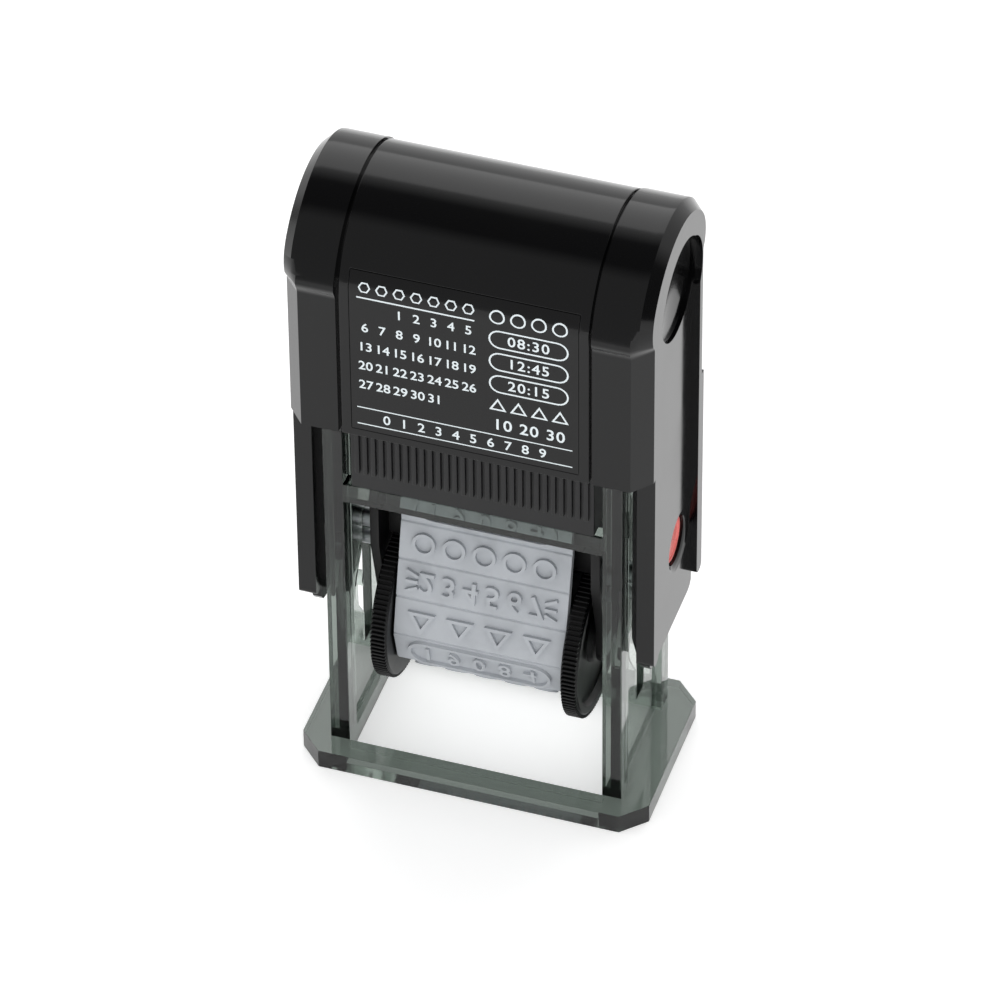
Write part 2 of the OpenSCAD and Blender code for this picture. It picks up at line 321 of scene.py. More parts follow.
def merged_copy(name: str, node: str) -> bpy.types.Object:
    """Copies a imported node's mesh, with its corners merged and its flat faces joined."""
    piece = link_mesh(name, bpy.data.objects[node].data.copy())
    bm = bmesh.new()
    bm.from_mesh(piece.data)
    bmesh.ops.remove_doubles(bm, verts=bm.verts, dist=2e-6)
    bmesh.ops.dissolve_limit(bm, angle_limit=math.radians(1), verts=bm.verts, edges=bm.edges)
    bm.to_mesh(piece.data)
    bm.free()
    return piece


def join(name: str, parts: Sequence[bpy.types.Object]) -> bpy.types.Object:
    """Joins loose parts into one object."""
    bm = bmesh.new()
    for part in parts:
        bm.from_mesh(part.data)
        bpy.data.objects.remove(part)
    mesh = bpy.data.meshes.new(name)
    bm.to_mesh(mesh)
    bm.free()
    return link_mesh(name, mesh)


# ---------------------------------------------------------------- finishes


@dataclass(frozen=True)
class MouldedPlastic:
    """Injection-moulded ABS or acetal: an even colour with a faint grain and slight handling marks."""

    name: str
    colour: str
    roughness: float
    grain_mm: float = 0.25
    grain_depth_mm: float = 0.004
    mottle: float = 0.12
    smear: float = 0.08
    coat: float = 0.0
    ior: float = 1.53

    def build(self) -> bpy.types.Material:
        """Builds the material."""
        material = bpy.data.materials.new(self.name)
        material.use_nodes = True
        tree = material.node_tree
        shader = tree.nodes["Principled BSDF"]
        place = add_node(tree, "ShaderNodeTexCoord")
        # Flow marks of the moulding, a few millimetres long, shift the colour a little
        flow = add_node(tree, "ShaderNodeTexNoise", {"Scale": 1 / (6 * MM), "Detail": 3.0},
                        {"Vector": place.outputs["Object"]})
        base = linear(self.colour)
        light = tuple(min(1.0, c * (1 + self.mottle)) for c in base[:3]) + (1.0,)
        dark = tuple(c * (1 - self.mottle) for c in base[:3]) + (1.0,)
        tint = add_node(tree, "ShaderNodeMix", {6: dark, 7: light}, {0: flow.outputs["Fac"]},
                        data_type="RGBA")
        tree.links.new(tint.outputs[2], shader.inputs["Base Color"])
        # Finger marks, about a centimetre across, dull the polish here and there
        marks = add_node(tree, "ShaderNodeTexNoise", {"Scale": 1 / (9 * MM), "Detail": 5.0, "Distortion": 0.6},
                         {"Vector": place.outputs["Object"]})
        dull = add_node(tree, "ShaderNodeMapRange",
                        {"From Min": 0.35, "From Max": 0.75, "To Min": self.roughness,
                         "To Max": self.roughness + self.smear}, {"Value": marks.outputs["Fac"]})
        tree.links.new(dull.outputs["Result"], shader.inputs["Roughness"])
        grain = add_node(tree, "ShaderNodeTexNoise", {"Scale": 1 / (self.grain_mm * MM), "Detail": 2.0},
                         {"Vector": place.outputs["Object"]})
        bump = add_node(tree, "ShaderNodeBump", {"Strength": 0.35, "Distance": self.grain_depth_mm * MM},
                        {"Height": grain.outputs["Fac"]})
        tree.links.new(bump.outputs["Normal"], shader.inputs["Normal"])
        shader.inputs["IOR"].default_value = self.ior
        shader.inputs["Coat Weight"].default_value = self.coat
        shader.inputs["Coat Roughness"].default_value = 0.06
        return material


@dataclass(frozen=True)
class ClearPlastic:
    """Tinted transparent polystyrene: thin walls look pale, and thick ones look dark green."""

    name: str
    colour: str
    depth_colour: str
    density: float
    roughness: float = 0.03

    def build(self) -> bpy.types.Material:
        """Builds the material."""
        material = bpy.data.materials.new(self.name)
        material.use_nodes = True
        tree = material.node_tree
        shader = tree.nodes["Principled BSDF"]
        place = add_node(tree, "ShaderNodeTexCoord")
        flow = add_node(tree, "ShaderNodeTexNoise", {"Scale": 1 / (4 * MM), "Detail": 2.0},
                        {"Vector": place.outputs["Object"]})
        gloss = add_node(tree, "ShaderNodeMapRange", {"To Min": self.roughness, "To Max": self.roughness + 0.04},
                         {"Value": flow.outputs["Fac"]})
        tree.links.new(gloss.outputs["Result"], shader.inputs["Roughness"])
        bump = add_node(tree, "ShaderNodeBump", {"Strength": 0.15, "Distance": 0.01 * MM},
                        {"Height": flow.outputs["Fac"]})
        tree.links.new(bump.outputs["Normal"], shader.inputs["Normal"])
        shader.inputs["Base Color"].default_value = linear(self.colour)
        shader.inputs["Transmission Weight"].default_value = 1.0
        shader.inputs["IOR"].default_value = 1.49
        out = tree.nodes["Material Output"]
        body = add_node(tree, "ShaderNodeVolumeAbsorption", {"Color": linear(self.depth_colour),
                                                             "Density": self.density})
        tree.links.new(body.outputs["Volume"], out.inputs["Volume"])
        return material


@dataclass(frozen=True)
class Rubber:
    """Moulded rubber or foam: matt, with a fine pitted skin and faint smudges of ink."""

    name: str
    colour: str
    stain: str
    roughness: float = 0.62
    pit_mm: float = 0.18
    pit_depth_mm: float = 0.02
    stain_share: float = 0.35

    def build(self) -> bpy.types.Material:
        """Builds the material."""
        material = bpy.data.materials.new(self.name)
        material.use_nodes = True
        tree = material.node_tree
        shader = tree.nodes["Principled BSDF"]
        place = add_node(tree, "ShaderNodeTexCoord")
        smudge = add_node(tree, "ShaderNodeTexNoise", {"Scale": 1 / (5 * MM), "Detail": 6.0, "Distortion": 0.4},
                          {"Vector": place.outputs["Object"]})
        share = add_node(tree, "ShaderNodeMapRange",
                         {"From Min": 0.45, "From Max": 0.8, "To Min": 0.0, "To Max": self.stain_share},
                         {"Value": smudge.outputs["Fac"]})
        tint = add_node(tree, "ShaderNodeMix", {6: linear(self.colour), 7: linear(self.stain)},
                        {0: share.outputs["Result"]}, data_type="RGBA")
        tree.links.new(tint.outputs[2], shader.inputs["Base Color"])
        pits = add_node(tree, "ShaderNodeTexNoise", {"Scale": 1 / (self.pit_mm * MM), "Detail": 3.0},
                        {"Vector": place.outputs["Object"]})
        bump = add_node(tree, "ShaderNodeBump", {"Strength": 0.4, "Distance": self.pit_depth_mm * MM},
                        {"Height": pits.outputs["Fac"]})
        tree.links.new(bump.outputs["Normal"], shader.inputs["Normal"])
        shader.inputs["Roughness"].default_value = self.roughness
        shader.inputs["IOR"].default_value = 1.52
        return material


@dataclass(frozen=True)
class DrawnSteel:
    """Drawn steel wire or pin stock: bright, with fine lines along the drawing direction."""

    name: str
    colour: str = "c4c6ca"
    roughness: float = 0.28
    line_mm: float = 0.08

    def build(self) -> bpy.types.Material:
        """Builds the material."""
        material = bpy.data.materials.new(self.name)
        material.use_nodes = True
        tree = material.node_tree
        shader = tree.nodes["Principled BSDF"]
        place = add_node(tree, "ShaderNodeTexCoord")
        stretch = add_node(tree, "ShaderNodeMapping", {"Scale": (0.05, 1.0, 1.0)},
                           {"Vector": place.outputs["Object"]})
        lines = add_node(tree, "ShaderNodeTexNoise", {"Scale": 1 / (self.line_mm * MM), "Detail": 2.0},
                         {"Vector": stretch.outputs["Vector"]})
        gloss = add_node(tree, "ShaderNodeMapRange", {"To Min": self.roughness, "To Max": self.roughness + 0.15},
                         {"Value": lines.outputs["Fac"]})
        tree.links.new(gloss.outputs["Result"], shader.inputs["Roughness"])
        shader.inputs["Base Color"].default_value = linear(self.colour)
        shader.inputs["Metallic"].default_value = 1.0
        return material


class Finishes:
    """Every material of the stamp, built once."""

    def __init__(self) -> None:
        """Builds the materials."""
        # Polished ABS: nearly black, and mirror-smooth apart from faint finger marks
        self.gloss_black = MouldedPlastic("polished_black_abs", "060607", 0.1, grain_mm=0.9,
                                          grain_depth_mm=0.002, smear=0.06, ior=1.38).build()
        # Spark-eroded ABS: a satin charcoal with a fine even grain
        self.charcoal = MouldedPlastic("satin_charcoal_abs", "141415", 0.42, grain_mm=0.2,
                                       grain_depth_mm=0.01, ior=1.42).build()
        # Acetal: dark, slightly waxy
        self.wheel = MouldedPlastic("black_acetal", "030304", 0.36, ior=1.34, grain_mm=0.3,
                                    grain_depth_mm=0.006).build()
        self.plate = MouldedPlastic("satin_black_abs", "070708", 0.4, ior=1.38).build()
        # Printed film under gloss lacquer
        self.label = MouldedPlastic("lacquered_label_film", "060607", 0.12, grain_mm=1.5,
                                    grain_depth_mm=0.002, smear=0.05, ior=1.38).build()
        # Screen ink: opaque white with a slightly uneven edge gloss
        self.ink = MouldedPlastic("white_screen_ink", "e8f1f4", 0.45, grain_mm=0.12, mottle=0.04).build()
        self.red = MouldedPlastic("coral_red_abs", "ee7f79", 0.3, grain_mm=0.3).build()
        self.clear = ClearPlastic("smoky_green_polystyrene", "d6dfd9", "55695e", 400.0).build()
        self.rubber = Rubber("grey_band_rubber", "b7bbc0", "6a6d72").build()
        self.foam = Rubber("pale_cushion_foam", "8e8c86", "6a6862", pit_mm=0.4, pit_depth_mm=0.06).build()
        self.pad = Rubber("inked_felt", "141418", "060608", roughness=0.8, pit_mm=0.3, pit_depth_mm=0.05).build()
        self.steel = DrawnSteel("drawn_spring_steel").build()


# ---------------------------------------------------------------- repeated shapes


class Repeat(Enum):
    """The ways in which a small part repeats."""

    ROW = "row"
    RING = "ring"


def repeat_tree(kind: Repeat) -> bpy.types.NodeTree:
    """Builds a tree that repeats a bar in a row along X or in a ring about X.

    Args:
        kind: whether the bars stand in a row or a ring.

    Returns:
        The node tree, with named inputs for its count and sizes.
    """
    tree = bpy.data.node_groups.new(f"bars_in_a_{kind.value}", "GeometryNodeTree")
    tree.interface.new_socket("Geometry", in_out="OUTPUT", socket_type="NodeSocketGeometry")
    for name, sort in (("Count", "NodeSocketInt"), ("Spacing", "NodeSocketFloat"), ("Bar", "NodeSocketVector"),
                       ("Centre", "NodeSocketVector"), ("Material", "NodeSocketMaterial")):
        tree.interface.new_socket(name, in_out="INPUT", socket_type=sort)
    given = add_node(tree, "NodeGroupInput").outputs
    bar = add_node(tree, "GeometryNodeMeshCube", links={"Size": given["Bar"]})
    if kind is Repeat.ROW:
        step = add_node(tree, "ShaderNodeCombineXYZ", links={"X": given["Spacing"]})
        points = add_node(tree, "GeometryNodeMeshLine",
                          links={"Count": given["Count"], "Offset": step.outputs[0]})
        placed = add_node(tree, "GeometryNodeInstanceOnPoints",
                          links={"Points": points.outputs["Mesh"], "Instance": bar.outputs["Mesh"]})
    else:
        points = add_node(tree, "GeometryNodeMeshCircle",
                          links={"Vertices": given["Count"], "Radius": given["Spacing"]})
        place = add_node(tree, "GeometryNodeInputPosition")
        turn = add_node(tree, "FunctionNodeAlignRotationToVector", links={"Vector": place.outputs[0]}, axis="Y")
        placed = add_node(tree, "GeometryNodeInstanceOnPoints",
                          links={"Points": points.outputs["Mesh"], "Instance": bar.outputs["Mesh"],
                                 "Rotation": turn.outputs["Rotation"]})
    real = add_node(tree, "GeometryNodeRealizeInstances", links={0: placed.outputs["Instances"]})
    turned = (0, math.pi / 2, 0) if kind is Repeat.RING else (0, 0, 0)
    moved = add_node(tree, "GeometryNodeTransform", {"Rotation": turned},
                     {"Geometry": real.outputs[0], "Translation": given["Centre"]})
    coloured = add_node(tree, "GeometryNodeSetMaterial",
                        links={"Geometry": moved.outputs[0], "Material": given["Material"]})
    add_node(tree, "NodeGroupOutput", links={0: coloured.outputs[0]})
    return tree


def coil_tree() -> bpy.types.NodeTree:
    """Builds a tree for a helical spring that stands on Z, with named inputs for its sizes."""
    tree = bpy.data.node_groups.new("helical_spring", "GeometryNodeTree")
    tree.interface.new_socket("Geometry", in_out="OUTPUT", socket_type="NodeSocketGeometry")
    for name, sort in (("Turns", "NodeSocketFloat"), ("Radius", "NodeSocketFloat"), ("Height", "NodeSocketFloat"),
                       ("Wire", "NodeSocketFloat"), ("Centre", "NodeSocketVector"),
                       ("Material", "NodeSocketMaterial")):
        tree.interface.new_socket(name, in_out="INPUT", socket_type=sort)
    given = add_node(tree, "NodeGroupInput").outputs
    helix = add_node(tree, "GeometryNodeCurveSpiral", {"Resolution": 36},
                     {"Rotations": given["Turns"], "Start Radius": given["Radius"],
                      "End Radius": given["Radius"], "Height": given["Height"]})
    wire = add_node(tree, "GeometryNodeCurvePrimitiveCircle", {"Resolution": 12}, {"Radius": given["Wire"]})
    skin = add_node(tree, "GeometryNodeCurveToMesh", {"Fill Caps": True},
                    {"Curve": helix.outputs[0], "Profile Curve": wire.outputs[0]})
    moved = add_node(tree, "GeometryNodeTransform",
                     links={"Geometry": skin.outputs[0], "Translation": given["Centre"]})
    coloured = add_node(tree, "GeometryNodeSetMaterial",
                        links={"Geometry": moved.outputs[0], "Material": given["Material"]})
    add_node(tree, "NodeGroupOutput", links={0: coloured.outputs[0]})
    return tree


def grow(name: str, tree: bpy.types.NodeTree, inputs: dict[str, Any]) -> bpy.types.Object:
    """Runs a node tree on an empty mesh and keeps the result as a plain mesh.

    Args:
        name: the object's name.
        tree: the node tree.
        inputs: what its named inputs are set to, in metres.

    Returns:
        The object that holds the result.
    """
    piece = link_mesh(name, bpy.data.meshes.new(name))
    step = piece.modifiers.new("repeat", "NODES")
    step.node_group = tree
    for item in tree.interface.items_tree:
        if item.in_out == "INPUT":
            step[item.identifier] = inputs[item.name]
    return apply_modifiers(piece)


# ---------------------------------------------------------------- case


@dataclass
class Case:
    """The glossy black case that is pressed down over the frame, in millimetres."""

    finishes: Finishes
    corner_x: float = 2.0
    corner_y: float = 2.3
    dome_r: float = 11.8
    cap_r: float = 12.4
    crease_up: float = 2.6
    neck: float = 1.8
    bevel: float = 1.2
    fade: float = 4.5
    seam: float = 0.4
    recess: float = 1.0
    rail_t: float = 2.1
    dish_r: float = 6.2
    dish_shift: float = 2.0
    dish_depth: float = 1.1
    wall: float = 1.2
    label_t: float = 0.25
    label_gap: float = 0.02
    skin: float = 0.6
    rail_w: float = 1.8
    rail_end_r: float = 0.7
    hole_r: float = 3.05
    hole_rim: float = 0.75
    button_wire: float = 0.12
    button_travel: float = 0.5
    half_x: float = field(init=False)
    cover_x: float = field(init=False)
    half_y: float = field(init=False)
    z0: float = field(init=False)
    top: float = field(init=False)
    low: float = field(init=False)
    button: Vector = field(init=False)

    def __post_init__(self) -> None:
        """Takes the case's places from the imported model."""
        low, high = (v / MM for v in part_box("case_shell"))
        cover_low, cover_high = (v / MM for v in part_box("centre_cover"))
        button_low, button_high = (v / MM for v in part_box("right_lock_button"))
        self.half_x, self.low, self.top = high.x, low.z, high.z
        self.cover_x, self.half_y, self.z0 = cover_high.x, cover_high.y, cover_low.z
        self.button = (button_low + button_high) / 2

    @property
    def dome_z(self) -> float:
        """Height of the cover dome's centre."""
        return self.top - self.dome_r

    @property
    def cap_z(self) -> float:
        """Height of the end cap dome's centre."""
        return self.top - self.cap_r

    @property
    def crease_z(self) -> float:
        """Height at which the end caps' dome narrows to the body."""
        return self.dome_z + self.crease_up

    @property
    def panel(self) -> tuple[float, float]:
        """Front and rear edge of the recessed side panel."""
        rail = self.half_y * 8.5 / 11.4
        return -(rail - self.rail_w), rail - 0.4

    def cap_ring(self, x: float) -> list[Point]:
        """The end cap's outline at one distance from the middle.

        Args:
            x: distance from the middle, in millimetres.

        Returns:
            Points round the cap, from its front bottom edge over the top to the back.
        """
        into_corner = max(0.0, (x - (self.half_x - self.corner_x)) / self.corner_x)
        into_bevel = max(0.0, (x - (self.half_x - self.bevel)) / self.bevel)
        flat_inset = self.corner_y * into_corner
        round_inset = self.bevel * into_bevel
        start = math.degrees(math.asin((self.crease_z - self.cap_z) / self.cap_r))

        def crown(angle: float) -> tuple[float, float]:
            """A point on the dome, drawn in near the crease as far as the upright corner is."""
            rise = self.cap_r * math.sin(math.radians(angle)) + self.cap_z - self.crease_z
            fade = max(0.0, 1 - rise / self.fade) ** 2
            reach = self.cap_r - round_inset - max(0.0, flat_inset - round_inset) * fade
            return (reach * math.cos(math.radians(angle)),
                    self.cap_z + reach * math.sin(math.radians(angle)))

        body_top = self.crease_z - self.neck
        side = [(self.half_y - flat_inset, self.z0 + (body_top - self.z0) * i / 6) for i in range(7)]
        y1, z1 = crown(start)
        for i in range(1, 8):
            ease = (i / 8) ** 2 * (3 - 2 * i / 8)
            side.append(((self.half_y - flat_inset) * (1 - ease) + y1 * ease,
                         body_top + (z1 - body_top) * i / 8))
        side += [crown(start + (90 - start) * i / 36) for i in range(37)]
        rear = [(x, y, z) for y, z in side]
        front = [(x, -y, z) for y, z in side[:-1]]
        return front + rear[::-1]

    def cap(self, sign: int) -> bpy.types.Object:
        """Makes one end cap.

        Args:
            sign: 1 for the right cap, -1 for the left.

        Returns:
            The solid cap.
        """
        x0, x1 = self.cover_x + self.seam, self.half_x
        spots = [x0, (x0 + x1 - self.corner_x) / 2, x1 - self.corner_x, x1 - self.bevel, x1]
        rings = [[(sign * px, py, pz) for px, py, pz in self.cap_ring(x)] for x in spots]
        return loft("cap", rings)

    def front_outline(self, inset: float, low: float) -> list[tuple[float, float]]:
        """The cover's side outline, closed, inset by a wall.

        Args:
            inset: how far inside the outer face, in millimetres.
            low: height of the outline's bottom.

        Returns:
            Points in Y and Z.
        """
        y, r = self.half_y - inset, self.dome_r - inset
        start = math.degrees(math.acos(min(1.0, y / r)))
        return [(-y, low), (y, low)] + arc((0.0, self.dome_z), r, start, 180 - start, 64)

    def build(self) -> None:
        """Builds the whole case."""
        self.shell()
        self.cover()
        for sign, side in ((1, "right"), (-1, "left")):
            self.lock_button(sign, side)
            self.button_spring(sign, side)

    def shell(self) -> None:
        """Makes both end caps, the skirts and the skin between them."""
        core = extrude_x("case", self.front_outline(self.skin, self.z0), -self.cover_x - 1, self.cover_x + 1)
        for sign in (1, -1):
            cut(core, self.cap(sign), "UNION")
            for part in self.skirt(sign):
                cut(core, part, "UNION")
        inner_x = self.half_x - self.rail_t - 0.5
        cut(core, extrude_x("hollow", self.front_outline(self.wall, self.z0 - 1), -inner_x, inner_x))
        for sign in (1, -1):
            for tool in self.side_tools(sign):
                cut(core, tool)
        seat = block("seat", (-inner_x - 0.1, -6, self.top - 6.6), (inner_x + 0.1, 6, self.top - 5.4))
        cut(core, seat, "UNION")
        soften(core, 0.28, 3)
        smooth(core)
        dress(core, self.finishes.gloss_black, "case", "gloss_black", "case_shell")

    def skirt(self, sign: int) -> list[bpy.types.Object]:
        """Makes one side's rails, panel and tongue."""
        outer, inner = sign * self.half_x, sign * (self.half_x - self.rail_t)
        face = sign * (self.half_x - self.recess)
        x0, x1 = sorted((inner, outer))
        f0, f1 = sorted((inner, face))
        t0, t1 = sorted((inner - sign * 1.2, face))
        front, rear = self.panel
        rail_z = self.low + 2.55
        up = self.z0 + 1
        low = self.low
        panel = [(front - 0.05, up), (front - 0.05, low + 1), (front + 0.5, low + 0.25), (front + 1.5, low),
                 (rear - 0.2, low), (rear + 0.6, low + 0.2), (rear + 1.1, low + 0.8), (rear + 1.1, up)]
        tongue = [(front + 0.4, up), (front + 0.4, low + 4.5), (front + 2.2, low + 0.5), (rear - 2, low + 0.5),
                  (rear - 0.4, low + 3.5), (rear - 0.4, up)]
        return [
            extrude_x("rail", self.rail_outline(front - self.rail_w, front, rail_z, up), x0, x1),
            extrude_x("rail", self.rail_outline(rear, rear + self.rail_w, rail_z, up), x0, x1),
            extrude_x("panel", panel, f0, f1),
            extrude_x("tongue", tongue, t0, t1),
        ]

    def rail_outline(self, y0: float, y1: float, low: float, high: float) -> list[tuple[float, float]]:
        """One rail's side outline, with its lower end rounded."""
        r = self.rail_end_r
        front = arc((y0 + r, low + r), r, 180, 270, 5)
        rear = arc((y1 - r, low + r), r, 270, 360, 5)
        return [(y0, high), *front, *rear, (y1, high)]

    def side_tools(self, sign: int) -> list[bpy.types.Object]:
        """Makes what cuts the recessed panel, the finger dish and the button's hole."""
        front, rear = self.panel
        middle, half = (front + rear) / 2, (rear - front) / 2
        face = self.half_x - self.recess
        panel = [(front, self.low - 1)] + arc((middle, self.dome_z), half, 180, 0, 40) + [(rear, self.low - 1)]
        x0, x1 = sorted((sign * face, sign * (self.half_x + 1)))
        tools = [extrude_x("panel", panel, x0, x1)]
        # The dish has an upright wall and a hollow floor
        depth = self.dish_depth
        floor = [(face - depth * (0.45 + 0.55 * math.cos(math.pi / 2 * t / 8)), self.dish_r * t / 8)
                 for t in range(1, 9)]
        profile = [(face + 2, 0.01), (face - depth, 0.01)] + floor + [(face + 2, self.dish_r)]
        dish = lathe_x("dish", [(sign * x, r) for x, r in profile], (middle + self.dish_shift, self.dome_z))
        tools.append(dish)
        r, rim = self.hole_r, self.hole_rim
        hole = [(face + 2, 0.01), (face - 1.95, 0.01), (face - 1.95, r), (face - 0.4, r), (face, r + rim),
                (face + 2, r + rim)]
        tools.append(lathe_x("hole", [(sign * x, q) for x, q in hole], (self.button.y, self.button.z)))
        return tools

    def cover(self) -> None:
        """Makes the centre cover and the label that sits in it."""
        outer = self.front_outline(0.0, self.z0)
        inner = self.front_outline(self.skin, self.z0)
        ring = outer[1:] + [outer[0]] + [inner[0]] + inner[:0:-1]
        piece = loft("centre_cover_shell", [[(x, y, z) for y, z in ring] for x in (-self.cover_x, self.cover_x)])
        low, high = (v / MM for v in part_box("front_label"))
        gap = self.label_gap
        cut(piece, extrude_x("pocket", self.front_strip(-1.0, self.label_t, low.z - gap, high.z + gap),
                             low.x - gap, high.x + gap))
        soften(piece, 0.4, 4)
        smooth(piece)
        dress(piece, self.finishes.gloss_black, "case", "gloss_black", "centre_cover")
        label = extrude_x("label_film", self.front_strip(0.0, self.label_t, low.z, high.z), low.x, high.x)
        soften(label, 0.03, 1)
        smooth(label)
        dress(label, self.finishes.label, "case", "label_film", "front_label")

    def front_at(self, inset: float, z: float) -> tuple[float, float]:
        """The cover's front face at one height, as Y and Z."""
        r = self.dome_r - inset
        over = max(0.0, z - self.dome_z)
        return -min(self.half_y - inset, math.sqrt(r * r - over * over)), z

    def front_strip(self, outer: float, inner: float, low: float, high: float) -> list[tuple[float, float]]:
        """A strip of the cover's front between two insets and two heights, closed."""
        heights = [low + (high - low) * i / 60 for i in range(61)]
        return [self.front_at(outer, z) for z in heights] + [self.front_at(inner, z) for z in reversed(heights)]

    def lock_button(self, sign: int, side: str) -> None:
        """Makes one red lock button, slightly crowned, with a fine step round its edge."""
        low, high = (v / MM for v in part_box("right_lock_button"))
        r = (high.y - low.y) / 2
        crown = [(high.x - 0.12 - 0.1 * (t / 6) ** 2, r * 0.8 * t / 6) for t in range(1, 7)]
        profile = [(low.x, 0.01), (high.x - 0.12, 0.01)] + crown
        profile += [(high.x - 0.16, r * 0.84), (high.x, r * 0.86), (high.x, r * 0.96), (high.x - 0.12, r), (low.x, r)]
        piece = lathe_x(f"{side}_lock_button_cap", [(sign * x, q) for x, q in profile],
                        (self.button.y, self.button.z))
        smooth(piece)
        dress(piece, self.finishes.red, f"{side}_button", "button_red", f"{side}_lock_button")


    def button_spring(self, sign: int, side: str) -> None:
        """Makes the fine coil behind one lock button."""
        low, high = (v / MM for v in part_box("right_button_spring"))
        wire = self.button_wire
        length = high.x - low.x
        piece = grow(f"{side}_button_spring_wire", coil_tree(), {
            "Turns": 1.5, "Radius": ((high.y - low.y) / 2 - wire) * MM, "Height": (length - 2 * wire) * MM,
            "Wire": wire * MM, "Centre": Vector((0, 0, wire)) * MM, "Material": self.finishes.steel,
        })
        lay = Matrix.Rotation(math.pi / 2 * sign, 4, "Y")
        floor = Vector((sign * low.x, self.button.y, self.button.z)) * MM
        piece.data.transform(Matrix.Translation(floor) @ lay)
        smooth(piece)
        dress(piece, self.finishes.steel, "case", "spring_steel", f"{side}_button_spring")
        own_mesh(piece)


# ---------------------------------------------------------------- frame and pad


@dataclass
class FrameAndPad:
    """The clear frame that stands on the paper, and the pad cartridge it carries, in millimetres."""

    finishes: Finishes
    rib_pitch: float = 0.96
    rib_width: float = 0.6
    rib_proud: float = 0.38
    rib_start: float = 2.4
    spring_wire: float = 0.5
    press_travel: float = 17.0

    def build(self) -> None:
        """Builds the frame, the cartridge and the return spring."""
        self.frame()
        self.cartridge()
        self.pad()
        self.spring()

    def frame(self) -> None:
        """Makes the clear frame, with soft moulded edges."""
        piece = merged_copy("clear_frame_body", "clear_frame")
        soften(piece, 0.25, 2, 40)
        smooth(piece)
        dress(piece, self.finishes.clear, "frame", "smoke_clear", "clear_frame")

    def cartridge(self) -> None:
        """Makes the ribbed pad cartridge."""
        low, high = (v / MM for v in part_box("pad_cartridge"))
        face = high.y - 0.4
        body = block("cartridge", (low.x, -face, low.z), (high.x, face, high.z))
        pad_low, pad_high = (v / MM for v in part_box("ink_pad"))
        cut(body, block("well", (pad_low.x - 0.1, pad_low.y - 0.1, low.z - 1),
                        (pad_high.x + 0.1, pad_high.y + 0.1, pad_high.z)))
        soften(body, 0.2, 2)
        count = int((high.x - low.x - 0.6) // self.rib_pitch)
        rib_z0, rib_z1 = low.z + self.rib_start, high.z - 0.2
        rows = []
        for sign in (1, -1):
            start = -(count - 1) / 2 * self.rib_pitch
            rows.append(grow("ribs", repeat_tree(Repeat.ROW), {
                "Count": count, "Spacing": self.rib_pitch * MM,
                "Bar": Vector((self.rib_width, 2 * self.rib_proud, rib_z1 - rib_z0)) * MM,
                "Centre": Vector((start, sign * face, (rib_z0 + rib_z1) / 2)) * MM,
                "Material": self.finishes.charcoal,
            }))
        ribs = join("ribs", rows)
        soften(ribs, 0.16, 2)
        piece = join("pad_cartridge_body", [body, ribs])
        smooth(piece)
        dress(piece, self.finishes.charcoal, "frame", "charcoal_plastic", "pad_cartridge")

    def pad(self) -> None:
        """Makes the inked pad, which swells a little out of the cartridge's mouth."""
        low, high = (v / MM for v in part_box("ink_pad"))
        piece = crowned_pad("felt_ink_pad", low, high, crown=-0.35, pull=0.25)
        dress(piece, self.finishes.pad, "frame", "ink_foam", "ink_pad")

    def spring(self) -> None:
        """Makes the return spring."""
        low, high = (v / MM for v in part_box("return_spring"))
        wire = self.spring_wire
        radius = (high.x - low.x) / 2 - 0.55
        piece = grow("return_spring_wire", coil_tree(), {
            "Turns": 4.5, "Radius": radius * MM, "Height": (high.z - low.z - 2 * wire) * MM, "Wire": wire * MM,
            "Centre": Vector((0, 0, low.z + wire)) * MM, "Material": self.finishes.steel,
        })
        smooth(piece)
        dress(piece, self.finishes.steel, "frame", "spring_steel", "return_spring")
        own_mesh(piece)


# ---------------------------------------------------------------- artwork


